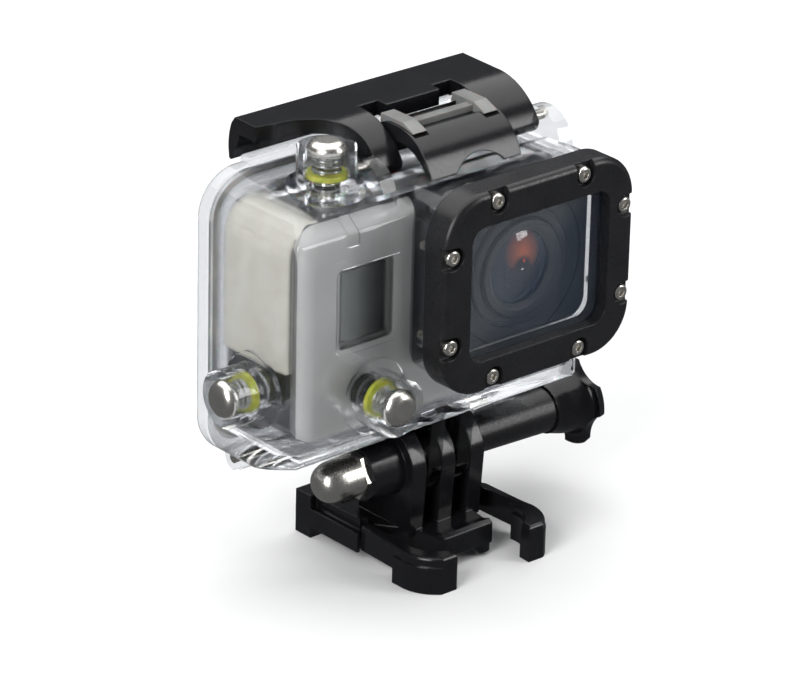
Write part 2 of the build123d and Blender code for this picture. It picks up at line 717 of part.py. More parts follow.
with BuildPart() as hook_plate:
    with BuildSketch(side_plane(plate_left_x)):
        with BuildLine():
            # underside, then up the inner face of the hook and round its outside
            Polyline((1.8, hook_pivot_z), (5.0, 77.2), (7.2, plate_under_z), (16.4, plate_under_z),
                     (17.1, 77.5), (18.15, leg_bottom_z + 0.1))
            ThreePointArc((18.15, leg_bottom_z + 0.1), (18.75, leg_bottom_z - 0.2),
                          (19.15, leg_bottom_z + 0.5))
            ThreePointArc((19.15, leg_bottom_z + 0.5), (19.3, 78.4), (18.5, 81.9))
            Polyline((18.5, 81.9), (17.6, plate_top_z), (8.4, plate_top_z - 0.2))
            # over the top and down to the round ends of the arms
            ThreePointArc((8.4, plate_top_z - 0.2), (0.2, 80.2),
                          (hook_pivot_y - hook_end_radius, hook_pivot_z))
            ThreePointArc((hook_pivot_y - hook_end_radius, hook_pivot_z),
                          (hook_pivot_y, hook_pivot_z - hook_end_radius),
                          (hook_pivot_y + hook_end_radius, hook_pivot_z))
        make_face()
    extrude(amount=plate_right_x - plate_left_x)
    # window for the lever, with two pockets for the lock's prongs
    window_width_x = arm_inner_right_x - arm_inner_left_x
    with Locations((latch_centre_x, slot_rear_y - 15, plate_top_z - 5)):
        Box(window_width_x, 30, 30, mode=Mode.SUBTRACT)
    for side in (-1, 1):
        pocket_x = latch_centre_x + side * (window_width_x - pocket_width) / 2
        with Locations((pocket_x, pocket_rear_y - 5, plate_top_z)):
            Box(pocket_width, 10, 12, mode=Mode.SUBTRACT)
    # the left part curves back round the shutter button
    with BuildSketch(Plane.XY.offset(plate_top_z + 5)):
        with BuildLine():
            Polyline((arm_outer_left_x, -10), (plate_left_x - 1, -10), (plate_left_x - 1, 12.0),
                     (plate_left_x, 12.0),
                     (-26.0, 11.2))
            ThreePointArc((-26.0, 11.2), (-18.0, 8.0), (arm_outer_left_x, 0.0))
            Line((arm_outer_left_x, 0.0), (arm_outer_left_x, -10))
        make_face()
    extrude(amount=-30, mode=Mode.SUBTRACT)
    # holes for the pivot pins at the arms' outer sides, and for the lever's pin across both arms
    for start, depth in ((arm_outer_left_x, 3.5), (plate_right_x, -3.5)):
        with BuildSketch(side_plane(start)):
            with Locations((hook_pivot_y, hook_pivot_z)):
                Circle(latch_pin_radius + running_gap)
        extrude(amount=depth, mode=Mode.SUBTRACT)
    with BuildSketch(side_plane(latch_centre_x - 14.6)):
        with Locations((lever_pivot_y, lever_pivot_z)):
            Circle(latch_pin_radius)
    extrude(amount=29.2, mode=Mode.SUBTRACT)
save(hook_plate.part, "latch_hook_plate")

with BuildPart() as latch_pivot_pins:
    ear_slot_length = ear_thickness + 0.35 + 3.3
    for start, length in ((ear_starts[0], ear_slot_length), (plate_right_x - 3.3, ear_slot_length)):
        with BuildSketch(side_plane(start)):
            with Locations((hook_pivot_y, hook_pivot_z)):
                Circle(latch_pin_radius)
        extrude(amount=length)
save(latch_pivot_pins.part, "latch_pivot_pins")

with BuildPart() as latch_lever_pin:
    with BuildSketch(side_plane(latch_centre_x - 14.6)):
        with Locations((lever_pivot_y, lever_pivot_z)):
            Circle(latch_pin_radius)
    extrude(amount=29.2)
save(latch_lever_pin.part, "latch_lever_pin")

prong_offset = 8.2
prong_width = 3.0
prong_front_y = -4.6
prong_rear_y = 4.2
prong_bottom_z = 81.0
prong_top_z = 82.9

with BuildPart() as latch_lever:
    with BuildSketch(side_plane(latch_centre_x - lever_half_width)):
        with Locations((lever_pivot_y, lever_pivot_z)):
            Circle(2.3)
        with BuildLine():
            Line((lever_pivot_y + 2.25, lever_pivot_z + 0.3), (4.3, 80.6))
            ThreePointArc((4.3, 80.6), (2.9, 81.8), (0.2, 82.2))
            ThreePointArc((0.2, 82.2), (-7.2, 79.7), (-10.4, 75.0))
            ThreePointArc((-10.4, 75.0), (-9.9, 74.6), (-9.2, 74.9))
            ThreePointArc((-9.2, 74.9), (-6.2, 78.0), (-1.6, 79.4))
            Line((-1.6, 79.4), (lever_pivot_y - 1.9, lever_pivot_z - 1.2))
            Line((lever_pivot_y - 1.9, lever_pivot_z - 1.2),
                 (lever_pivot_y + 2.25, lever_pivot_z + 0.3))
        make_face()
    extrude(amount=2 * lever_half_width)
    # finger scoop in the lower edge
    with BuildSketch(front_plane(-2.6)):
        with Locations((latch_centre_x + 1.0, 71.4)):
            Ellipse(6.8, 5.9)
    extrude(amount=10.0, mode=Mode.SUBTRACT)
    # grooves that guide the lock
    for side in (-1, 1):
        with Locations((latch_centre_x + side * prong_offset, 0, prong_bottom_z + 5)):
            Box(prong_width + 0.2, 16, 10, mode=Mode.SUBTRACT)
    with Locations((latch_centre_x, -0.3, prong_bottom_z + 5.1)):
        Box(2 * prong_offset, 6.4, 10, mode=Mode.SUBTRACT)
    with BuildSketch(side_plane(latch_centre_x - lever_half_width)):
        with Locations((lever_pivot_y, lever_pivot_z)):
            Circle(latch_pin_radius + running_gap)
    extrude(amount=2 * lever_half_width, mode=Mode.SUBTRACT)
save(latch_lever.part, "latch_lever")

with BuildPart() as lock_slider:
    for side in (-1, 1):
        with BuildSketch(side_plane(latch_centre_x + side * prong_offset - prong_width / 2)):
            with BuildLine():
                Polyline((prong_front_y + 1.0, prong_bottom_z + 0.05),
                         (prong_front_y, prong_bottom_z + 0.6),
                         (prong_front_y + 0.8, prong_top_z - 0.9), (prong_front_y + 3.0, prong_top_z),
                         (prong_rear_y, prong_top_z), (prong_rear_y, prong_bottom_z + 0.05), close=True)
            make_face()
        extrude(amount=prong_width)
    with Locations((latch_centre_x, -0.6, prong_bottom_z + 0.75)):
        Box(2 * prong_offset, 1.8, 1.2)
save(lock_slider.part, "latch_lock_slider")

# ================================================================ camera
plate_split_y = -5.4        # joint between the front cover and the body
camera_corner = 3.8
lcd_x = -20.9
lcd_z = 54.6
lcd_width = 12.2
lcd_height = 15.2
surround_width = 33.4
surround_height = 27.2
barrel_radius = 11.2
ring_radius = 9.1
lens_radius = 6.8
lens_groove = 0.2           # width of the gap round the barrel; the gap round the ring is twice that
lens_dome_start = 14.3      # how far in front of the origin's plane the lens's dome begins
lens_bulge = 1.2
lens_dome_radius = (lens_radius ** 2 + lens_bulge ** 2) / (2 * lens_bulge)
camera_button_radii = {"shutter": 3.3, "mode": 3.0, "wifi": 2.3}


def camera_button_plane(name):
    """Plane at the camera's own face under a push button, facing outwards."""
    return button_planes[name].offset(camera_button_tops[name] - 0.5)


with BuildPart() as camera_body:
    with BuildSketch(front_plane(camera_rear_y)):
        with Locations((housing_centre_x, camera_mid_z)):
            RectangleRounded(camera_width, camera_height, camera_corner)
    extrude(amount=camera_rear_y - plate_split_y)
    fillet(camera_body.faces().sort_by(Axis.Y)[-1].edges(), 1.2)
    # hollow for the board and the battery, open to the front cover
    with BuildSketch(front_plane(camera_rear_y - 1.8)):
        with Locations((housing_centre_x, camera_mid_z)):
            RectangleRounded(camera_width - 5.0, camera_height - 5.0, 2.0)
    extrude(amount=camera_rear_y - 1.8 - plate_split_y, mode=Mode.SUBTRACT)
    # recess of the battery door in the back
    with BuildSketch(front_plane(camera_rear_y)):
        with Locations((housing_centre_x - 8.0, camera_mid_z)):
            RectangleRounded(36.0, 32.0, 2.5)
    extrude(amount=1.0, mode=Mode.SUBTRACT)
    # recess of the side door
    with Locations((camera_left_x, 3.8, camera_bottom_z + 21.0)):
        Box(1.6, 13.0, 30.0, mode=Mode.SUBTRACT)
    for name in ("shutter", "wifi"):
        with BuildSketch(camera_button_plane(name)):
            Circle(camera_button_radii[name] + 0.12)
        extrude(amount=-1.7, mode=Mode.SUBTRACT)
save(camera_body.part, "camera_body")

with BuildPart() as camera_front_plate:
    with BuildSketch(front_plane(plate_split_y)):
        with Locations((housing_centre_x, camera_mid_z)):
            RectangleRounded(camera_width, camera_height, camera_corner)
    extrude(amount=plate_split_y - camera_front_y)
    fillet(camera_front_plate.faces().sort_by(Axis.Y)[0].edges(), 2.4)
    with BuildSketch(front_plane(plate_split_y)):
        with Locations((lens_x, lens_z)):
            Circle(barrel_radius + 0.1)
        with Locations((lcd_x, lcd_z)):
            RectangleRounded(lcd_width - 1.6, lcd_height - 1.6, 0.6)
    extrude(amount=plate_split_y - camera_front_y, mode=Mode.SUBTRACT)
    with BuildSketch(front_plane(camera_front_y)):
        with Locations((lcd_x, lcd_z)):
            RectangleRounded(lcd_width, lcd_height, 1.0)
    extrude(amount=-0.8, mode=Mode.SUBTRACT)
    with BuildSketch(camera_button_plane("mode")):
        Circle(camera_button_radii["mode"] + 0.12)
    extrude(amount=-1.7, mode=Mode.SUBTRACT)
save(camera_front_plate.part, "camera_front_plate")

with BuildPart() as camera_lcd_window:
    with BuildSketch(front_plane(camera_front_y + 0.8)):
        with Locations((lcd_x, lcd_z)):
            RectangleRounded(lcd_width, lcd_height, 1.0)
    extrude(amount=0.75)
save(camera_lcd_window.part, "camera_lcd_window")

with BuildPart() as camera_lcd:
    with BuildSketch(front_plane(plate_split_y)):
        with Locations((lcd_x, lcd_z)):
            Rectangle(lcd_width - 2.2, lcd_height - 2.2)
    extrude(amount=plate_split_y - camera_front_y - 0.9)
save(camera_lcd.part, "camera_lcd")

with BuildPart() as camera_lens_surround:
    with BuildSketch(front_plane(camera_front_y)):
        with Locations((lens_x, lens_z)):
            RectangleRounded(surround_width, surround_height, 4.0)
            Circle(barrel_radius + lens_groove, mode=Mode.SUBTRACT)
    extrude(amount=6.4)
    fillet(camera_lens_surround.faces().sort_by(Axis.Y)[0].outer_wire().edges(), 1.0)
save(camera_lens_surround.part, "camera_lens_surround")

lens_axis = Axis((lens_x, 0, lens_z), (0, -1, 0))
lens_plane = Plane(origin=(lens_x, 0, lens_z), x_dir=(0, -1, 0), z_dir=(0, 0, 1))

with BuildPart() as camera_lens_barrel:
    with BuildSketch(lens_plane):
        with BuildLine():
            # distance in front of the sketch's origin, then distance from the lens axis
            Polyline((0.5, 5.0), (0.5, barrel_radius), (14.6, barrel_radius),
                     (14.9, barrel_radius - 0.3),
                     (14.9, ring_radius + 2 * lens_groove), (14.3, ring_radius + 2 * lens_groove),
                     (14.3, 7.6), (9.0, 7.6), (9.0, 5.0), close=True)
        make_face()
    revolve(axis=lens_axis)
save(camera_lens_barrel.part, "camera_lens_barrel")

with BuildPart() as camera_lens_ring:
    with BuildSketch(lens_plane):
        with BuildLine():
            Polyline((14.35, lens_radius + 0.05), (14.35, ring_radius), (15.4, ring_radius),
                     (15.7, ring_radius - 0.3),
                     (15.7, lens_radius + 0.9), (14.9, lens_radius + 0.05), close=True)
        make_face()
    revolve(axis=lens_axis)
save(camera_lens_ring.part, "camera_lens_ring")

with BuildPart() as camera_lens_glass:
    with BuildSketch(lens_plane):
        with BuildLine():
            Polyline((lens_dome_start, 0), (9.1, 0), (9.1, lens_radius), (lens_dome_start, lens_radius))
            half_angle = math.asin(lens_radius / lens_dome_radius) / 2
            dome_centre = lens_dome_start + lens_bulge - lens_dome_radius
            ThreePointArc(
                (lens_dome_start, lens_radius),
                (dome_centre + lens_dome_radius * math.cos(half_angle),
                 lens_dome_radius * math.sin(half_angle)),
                (lens_dome_start + lens_bulge, 0),
            )
            Line((lens_dome_start + lens_bulge, 0), (lens_dome_start, 0))
        make_face()
    revolve(axis=lens_axis)
save(camera_lens_glass.part, "camera_lens_glass")

with BuildPart() as camera_image_sensor:
    with Locations((lens_x, 0.8, lens_z)):
        Box(9.0, 1.2, 8.0)
save(camera_image_sensor.part, "camera_image_sensor")

board_y = 1.45
with BuildPart() as camera_main_board:
    with Locations((housing_centre_x, board_y + 0.8, camera_mid_z)):
        Box(52.0, 1.6, 33.0)
    with BuildSketch(front_plane(board_y)):
        with Locations((-20.0, 40.0), (-22.0, 52.0), (0.0, 38.0)):
            Rectangle(9.0, 7.0)
    extrude(amount=1.2)
save(camera_main_board.part, "camera_main_board")

with BuildPart() as camera_battery:
    with BuildSketch(front_plane(10.6)):
        with Locations((housing_centre_x - 8.0, camera_mid_z)):
            RectangleRounded(34.0, 30.0, 1.5)
    extrude(amount=6.8)
save(camera_battery.part, "camera_battery")

with BuildPart() as camera_battery_door:
    with BuildSketch(front_plane(camera_rear_y)):
        with Locations((housing_centre_x - 8.0, camera_mid_z)):
            RectangleRounded(35.8, 31.8, 2.4)
    extrude(amount=0.95)
save(camera_battery_door.part, "camera_battery_door")

rib_pitch = 1.25
with BuildPart() as camera_side_door:
    with Locations((camera_left_x + 0.45, 3.8, camera_bottom_z + 21.0)):
        Box(0.6, 12.8, 29.8)
    for index in range(10):
        with Locations((camera_left_x + 0.15, 3.8 + (index - 4.5) * rib_pitch, camera_bottom_z + 21.0)):
            Box(0.3, 0.6, 28.6)
    with BuildSketch(camera_button_plane("wifi")):
        Circle(camera_button_radii["wifi"] + 0.12)
    extrude(amount=-1.7, mode=Mode.SUBTRACT)
save(camera_side_door.part, "camera_side_door")

for name in button_planes:
    with BuildPart() as camera_button:
        with BuildSketch(camera_button_plane(name).offset(-1.0)):
            Circle(camera_button_radii[name])
        extrude(amount=1.5)
        fillet(camera_button.edges().filter_by(GeomType.CIRCLE).sort_by(
            Axis(button_planes[name].origin, button_planes[name].z_dir))[-1], 0.3)
    save(camera_button.part, f"camera_{name}_button")

felt_right_x = -29.5
felt_bottom_z = 44.0
felt_outer_x = cavity_left_x + 0.1
felt_inner_x = camera_left_x - 0.1
with BuildPart() as antifog_insert:
    # a felt strip that stands beside the camera and bends over its top corner
    with BuildSketch(front_plane(12.4)):
        with BuildLine():
            corner_x = cavity_left_x + 5.5
            corner_z = cavity_top_z - 5.5
            Line((felt_inner_x, felt_bottom_z), (felt_outer_x, felt_bottom_z))
            Line((felt_outer_x, felt_bottom_z), (felt_outer_x, corner_z))
            RadiusArc((felt_outer_x, corner_z), (corner_x, cavity_top_z - 0.1), 5.4)
            Line((corner_x, cavity_top_z - 0.1), (felt_right_x, cavity_top_z - 0.1))
            Line((felt_right_x, cavity_top_z - 0.1), (felt_right_x, camera_top_z + 0.1))
            Line((felt_right_x, camera_top_z + 0.1),
                 (camera_left_x + camera_corner, camera_top_z + 0.1))
            RadiusArc((camera_left_x + camera_corner, camera_top_z + 0.1),
                      (felt_inner_x, camera_top_z - camera_corner), -camera_corner - 0.1)
            Line((felt_inner_x, camera_top_z - camera_corner), (felt_inner_x, felt_bottom_z))
        make_face()
    extrude(amount=18.0)
save(antifog_insert.part, "antifog_insert")
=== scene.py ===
import json
import math

import bmesh
import bpy
from mathutils import Matrix, Vector, noise


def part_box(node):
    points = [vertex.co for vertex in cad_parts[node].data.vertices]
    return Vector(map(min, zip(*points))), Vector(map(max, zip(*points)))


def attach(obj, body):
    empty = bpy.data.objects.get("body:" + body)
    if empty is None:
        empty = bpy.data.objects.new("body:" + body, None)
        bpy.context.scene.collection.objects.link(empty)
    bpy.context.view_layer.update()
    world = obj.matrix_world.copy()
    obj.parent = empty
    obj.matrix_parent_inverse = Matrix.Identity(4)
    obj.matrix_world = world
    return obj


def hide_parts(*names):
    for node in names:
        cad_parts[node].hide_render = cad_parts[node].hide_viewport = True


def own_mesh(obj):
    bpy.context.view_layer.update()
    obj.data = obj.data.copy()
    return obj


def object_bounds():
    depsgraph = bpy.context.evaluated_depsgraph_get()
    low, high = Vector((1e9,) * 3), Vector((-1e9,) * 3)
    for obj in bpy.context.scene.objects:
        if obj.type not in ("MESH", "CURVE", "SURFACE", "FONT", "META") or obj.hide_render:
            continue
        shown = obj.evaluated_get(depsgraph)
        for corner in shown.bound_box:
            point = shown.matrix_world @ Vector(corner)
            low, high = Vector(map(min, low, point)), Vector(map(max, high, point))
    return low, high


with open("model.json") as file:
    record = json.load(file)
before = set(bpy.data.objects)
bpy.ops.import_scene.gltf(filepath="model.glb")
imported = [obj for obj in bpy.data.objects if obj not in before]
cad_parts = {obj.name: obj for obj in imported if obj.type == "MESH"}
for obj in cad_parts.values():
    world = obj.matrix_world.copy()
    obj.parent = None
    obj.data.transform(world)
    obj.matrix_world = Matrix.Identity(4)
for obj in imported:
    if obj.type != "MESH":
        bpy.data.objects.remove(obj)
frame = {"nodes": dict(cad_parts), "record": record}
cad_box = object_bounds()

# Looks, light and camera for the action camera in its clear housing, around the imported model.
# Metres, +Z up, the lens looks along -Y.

MM = 0.001
NODES = frame["nodes"]
BUTTONS = {
    # push button: direction in which it is pressed
    "shutter": Vector((0, 0, -1)),
    "mode": Vector((0, 1, 0)),
    "wifi": Vector((1, 0, 0)),
}


# ---------------------------------------------------------------- material helpers
class Surface:
    """A Principled material whose colour, roughness and relief come from noise in object space."""

    def __init__(self, name):
        self.material = bpy.data.materials.new(name)
        self.material.use_nodes = True
        self.tree = self.material.node_tree
        self.tree.nodes.clear()
        self.output = self.tree.nodes.new("ShaderNodeOutputMaterial")
        self.shader = self.tree.nodes.new("ShaderNodeBsdfPrincipled")
        self.tree.links.new(self.shader.outputs["BSDF"], self.output.inputs["Surface"])
        self.place = self.tree.nodes.new("ShaderNodeTexCoord").outputs["Object"]
        self.relief = None

    def set(self, **values):
        """Constants on the shader's own sockets, by name with underscores for spaces."""
        for key, value in values.items():
            self.shader.inputs[key.replace("_", " ")].default_value = value
        return self

    def link(self, source, socket):
        self.tree.links.new(source, self.shader.inputs[socket])
        return self

    def stretch(self, scale):
        """Object coordinates scaled by three factors."""
        mapping = self.tree.nodes.new("ShaderNodeMapping")
        mapping.inputs["Scale"].default_value = scale
        self.tree.links.new(self.place, mapping.inputs["Vector"])
        return mapping.outputs["Vector"]

    def noise(self, size_mm, detail=4.0, stretch=None, distortion=0.0):
        node = self.tree.nodes.new("ShaderNodeTexNoise")
        node.inputs["Scale"].default_value = 1 / (size_mm * MM)
        node.inputs["Detail"].default_value = detail
        node.inputs["Distortion"].default_value = distortion
        source = self.stretch(stretch) if stretch else self.place
        self.tree.links.new(source, node.inputs["Vector"])
        return node.outputs["Fac"]

    def cells(self, size_mm):
        node = self.tree.nodes.new("ShaderNodeTexVoronoi")
        node.inputs["Scale"].default_value = 1 / (size_mm * MM)
        self.tree.links.new(self.place, node.inputs["Vector"])
        return node.outputs["Distance"]

    def axis(self, letter):
        node = self.tree.nodes.new("ShaderNodeSeparateXYZ")
        self.tree.links.new(self.place, node.inputs["Vector"])
        return node.outputs[letter]

    def math(self, operation, first, second=None):
        node = self.tree.nodes.new("ShaderNodeMath")
        node.operation = operation
        for socket, value in zip(node.inputs, (first, second)):
            if value is None:
                continue
            if isinstance(value, (int, float)):
                socket.default_value = value
            else:
                self.tree.links.new(value, socket)
        return node.outputs["Value"]

    def spread(self, field, low, high, start=0.3, end=0.7):
        """The field's range from start to end, as values from low to high."""
        node = self.tree.nodes.new("ShaderNodeMapRange")
        node.inputs["From Min"].default_value = start
        node.inputs["From Max"].default_value = end
        node.inputs["To Min"].default_value = low
        node.inputs["To Max"].default_value = high
        self.tree.links.new(field, node.inputs["Value"])
        return node.outputs["Result"]

    def mix(self, factor, first, second):
        node = self.tree.nodes.new("ShaderNodeMix")
        node.data_type = "RGBA"
        sockets = [node.inputs[i] for i in (0, 6, 7)]
        for socket, value in zip(sockets, (factor, first, second)):
            if isinstance(value, (int, float)):
                socket.default_value = value
            elif isinstance(value, tuple):
                socket.default_value = (*value, 1.0)
            else:
                self.tree.links.new(value, socket)
        return node.outputs[2]

    def bump(self, field, height_mm, strength=1.0):
        node = self.tree.nodes.new("ShaderNodeBump")
        node.inputs["Distance"].default_value = height_mm * MM
        node.inputs["Strength"].default_value = strength
        self.tree.links.new(field, node.inputs["Height"])
        if self.relief:
            self.tree.links.new(self.relief, node.inputs["Normal"])
        self.relief = node.outputs["Normal"]
        return self

    def soft_edges(self, radius_mm):
        node = self.tree.nodes.new("ShaderNodeBevel")
        node.samples = 4
        node.inputs["Radius"].default_value = radius_mm * MM
        if self.relief:
            self.tree.links.new(self.relief, node.inputs["Normal"])
        self.relief = node.outputs["Normal"]
        return self

    def done(self):
        if self.relief:
            self.tree.links.new(self.relief, self.shader.inputs["Normal"])
        return self.material


def scaled(colour, factor):
    return tuple(min(1.0, c * factor) for c in colour)


def moulded(name, colour, rough, grain_mm=0.35, relief_mm=0.003, edge_mm=0.25, mottling=0.2,
            tint=None, **constants):
    """Opaque moulded plastic: faint mottling, fine grain in the gloss, softened edges."""
    surface = Surface(name)
    mottle = surface.noise(7.0, detail=3)
    grain = surface.noise(grain_mm, detail=2)
    darker, paler = scaled(colour, 1 - mottling), scaled(colour, 1 + mottling)
    body = surface.mix(surface.spread(mottle, 0, 1), darker, paler)
    surface.link(tint(surface, body) if tint else body, "Base Color")
    surface.link(surface.spread(grain, *rough), "Roughness")
    surface.soft_edges(edge_mm)
    surface.bump(grain, relief_mm)
    return surface.set(**constants).done()


def clear(name, colour, alpha, rough):
    """Clear moulded plastic under a crisp polished skin, with painted shade that makes it darker and
    denser where it is seen edge on.

    The index of refraction is far below the real 1.49, so that light goes nearly straight through.
    """
    surface = Surface(name)
    haze = surface.noise(9.0, detail=4)
    flow = surface.noise(5.0, detail=2, stretch=(1.0, 0.35, 1.0), distortion=0.6)
    body = surface.mix(surface.spread(haze, 0, 1), scaled(colour, 0.96), colour)
    # painted shade: where the plastic is seen edge on, the colour darkens and the alpha rises, standing
    # in for its dark edge reflections
    facing = surface.tree.nodes.new("ShaderNodeLayerWeight")
    facing.inputs["Blend"].default_value = 0.35
    edge = surface.spread(facing.outputs["Facing"], 0, 1, 0.3, 0.85)
    surface.link(surface.mix(edge, body, scaled(colour, 0.25)), "Base Color")
    surface.link(surface.spread(edge, alpha, min(1.0, alpha + 0.35), 0, 1), "Alpha")
    surface.link(surface.spread(haze, *rough), "Roughness")
    surface.bump(flow, 0.02, 0.06)
    surface.set(Transmission_Weight=1.0, IOR=1.08, Coat_Weight=1.0, Coat_Roughness=0.0)
    return surface.done()


def metal(name, colour, rough, scratch_mm=0.15):
    surface = Surface(name)
    stain = surface.noise(3.0, detail=4)
    lines = surface.noise(scratch_mm, detail=2)
    tone = surface.mix(surface.spread(stain, 0, 1), scaled(colour, 0.86), colour)
    surface.link(tone, "Base Color")
    surface.link(surface.spread(lines, *rough), "Roughness")
    surface.soft_edges(0.12)
    surface.bump(lines, 0.002)
    return surface.set(Metallic=1.0).done()


# ---------------------------------------------------------------- materials
def felt_material():
    surface = Surface("felt")
    fibres = surface.noise(0.35, detail=6, distortion=1.2)
    cloud = surface.noise(5.0, detail=3)
    tone = surface.mix(surface.spread(cloud, 0, 1), (0.82, 0.77, 0.65), (0.94, 0.91, 0.81))
    tone = surface.mix(surface.spread(fibres, 0, 0.35), tone, (0.64, 0.59, 0.48))
    surface.link(tone, "Base Color")
    surface.bump(fibres, 0.12, 0.7)
    surface.bump(surface.noise(1.6, detail=3), 0.25, 0.4)
    return surface.set(Roughness=0.95, Sheen_Weight=0.35, Sheen_Roughness=0.6).done()


def display_material():
    """Blank display with a fine dot grid; its fall to black towards the lens stands for a reflection."""
    low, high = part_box("camera_lcd")
    surface = Surface("display")
    across = surface.spread(surface.axis("X"), 0, 1, low.x + (high.x - low.x) * 0.35, high.x)
    tone = surface.mix(across, (0.42, 0.44, 0.42), (0.015, 0.018, 0.018))
    dot_pitch = 0.28 * MM
    pitch = 2 * math.pi / dot_pitch
    dots = surface.math(
        "MULTIPLY",
        surface.math("SINE", surface.math("MULTIPLY", surface.axis("X"), pitch)),
        surface.math("SINE", surface.math("MULTIPLY", surface.axis("Z"), pitch)),
    )
    tone = surface.mix(surface.spread(dots, 0, 0.12, 0, 1), tone, (0.03, 0.04, 0.035))
    surface.link(tone, "Base Color")
    surface.link(surface.spread(surface.noise(2.0), 0.3, 0.42), "Roughness")
    return surface.done()


def lens_panel(surface, body):
    """The front cover's paint stops round the lens, where the plastic is dark."""
    low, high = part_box("camera_lens_surround")
    margin = 2.0 * MM
    inside = None
    for letter, start, end in (("X", low.x, high.x), ("Z", low.z, high.z)):
        for operation, limit in (("GREATER_THAN", start - margin), ("LESS_THAN", end + margin)):
            test = surface.math(operation, surface.axis(letter), limit)
            inside = surface.math("MULTIPLY", inside, test) if inside else test
    return surface.mix(inside, body, (0.045, 0.047, 0.052))


def lens_rings(surface, body):
    """Evenly spaced dark lines of painted shade round the lens's axis, which strengthen the modelled
    gaps.
    """
    low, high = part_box("camera_lens_ring")
    middle = (low + high) / 2
    radius = (high.x - low.x) / 2
    side = surface.math("SUBTRACT", surface.axis("X"), middle.x)
    rise = surface.math("SUBTRACT", surface.axis("Z"), middle.z)
    squares = surface.math("ADD", surface.math("POWER", side, 2), surface.math("POWER", rise, 2))
    out = surface.math("DIVIDE", surface.math("SQRT", squares), radius)
    # painted shade: thin dark rings that deepen the shade of the modelled gaps round the lens
    line_spacing, line_width = 0.3, 0.035
    wave = surface.math("PINGPONG", surface.math("SUBTRACT", out, 1.0), line_spacing)
    groove_shade_lines = surface.spread(wave, 1, 0, 0.0, line_width)
    return surface.mix(groove_shade_lines, body, (0.004, 0.004, 0.006))


def port_glass_material():
    """Coated flat glass of the port; its veil fades across the pane and stands for a reflection."""
    surface = Surface("port_glass")
    smear = surface.noise(12.0, detail=4)
    low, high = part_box("lens_window_glass")
    slope = surface.math("SUBTRACT", surface.axis("X"), surface.axis("Z"))
    slant = surface.spread(slope, 0, 1, low.x - low.z, high.x - high.z)
    # painted reflection: the colour fades from pale grey to dark blue across the pane
    painted_reflection_veil = surface.mix(slant, (0.14, 0.16, 0.18), (0.03, 0.045, 0.07))
    tone = surface.mix(surface.spread(smear, 0, 0.25), painted_reflection_veil, (0.06, 0.08, 0.11))
    surface.link(tone, "Base Color")
    surface.link(surface.spread(smear, 0.0, 0.02), "Roughness")
    return surface.set(Alpha=0.2, IOR=1.5, Coat_Weight=0.4, Coat_Roughness=0.0).done()


def lens_material():
    """Dark coated lens; the warm glow above its middle and the red dot stand for reflections."""
    low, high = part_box("camera_lens_glass")
    centre = (low + high) / 2
    radius = (high.x - low.x) / 2
    surface = Surface("lens_glass")

    def distance(x, z):
        """Distance from a point given in lens radii, in lens radii."""
        squares = []
        for letter, middle in (("X", centre.x + x * radius), ("Z", centre.z + z * radius)):
            away = surface.math("SUBTRACT", surface.axis(letter), middle)
            squares.append(surface.math("POWER", surface.math("DIVIDE", away, radius), 2))
        return surface.math("SQRT", surface.math("ADD", *squares))

    ring = surface.spread(distance(0, 0), 0, 1, 0.25, 0.95)
    tone = surface.mix(ring, (0.020, 0.018, 0.028), (0.045, 0.055, 0.085))
    glow = surface.spread(distance(0.05, 0.45), 1, 0, 0.05, 0.62)
    bite = surface.spread(distance(0.0, 0.02), 0, 1, 0.22, 0.38)
    crescent = surface.math("MULTIPLY", glow, bite)
    tone = surface.mix(crescent, tone, (0.60, 0.15, 0.07))
    dot = surface.spread(distance(0.06, 0.2), 1, 0, 0.03, 0.06)
    tone = surface.mix(dot, tone, (0.75, 0.08, 0.05))
    surface.link(tone, "Base Color")
    surface.link(surface.spread(surface.noise(2.5), 0.03, 0.07), "Roughness")
    return surface.set(Coat_Weight=1.0, Coat_Roughness=0.02, IOR=1.6).done()


def circuit_material():
    surface = Surface("circuit")
    tracks = surface.cells(2.2)
    edges = surface.spread(tracks, 0, 1, 0.2, 0.25)
    tone = surface.mix(edges, (0.02, 0.13, 0.05), (0.05, 0.22, 0.09))
    surface.link(tone, "Base Color")
    surface.link(surface.spread(tracks, 0.25, 0.5), "Roughness")
    return surface.bump(tracks, 0.04).done()


def washer_material():
    surface = Surface("washer_yellow")
    haze = surface.noise(1.8, detail=3)
    tone = surface.mix(surface.spread(haze, 0, 1), (0.55, 0.57, 0.04), (0.78, 0.80, 0.12))
    surface.link(tone, "Base Color")
    surface.link(surface.spread(haze, 0.3, 0.5), "Roughness")
    return surface.set(Subsurface_Weight=0.2, Subsurface_Scale=0.4 * MM).done()


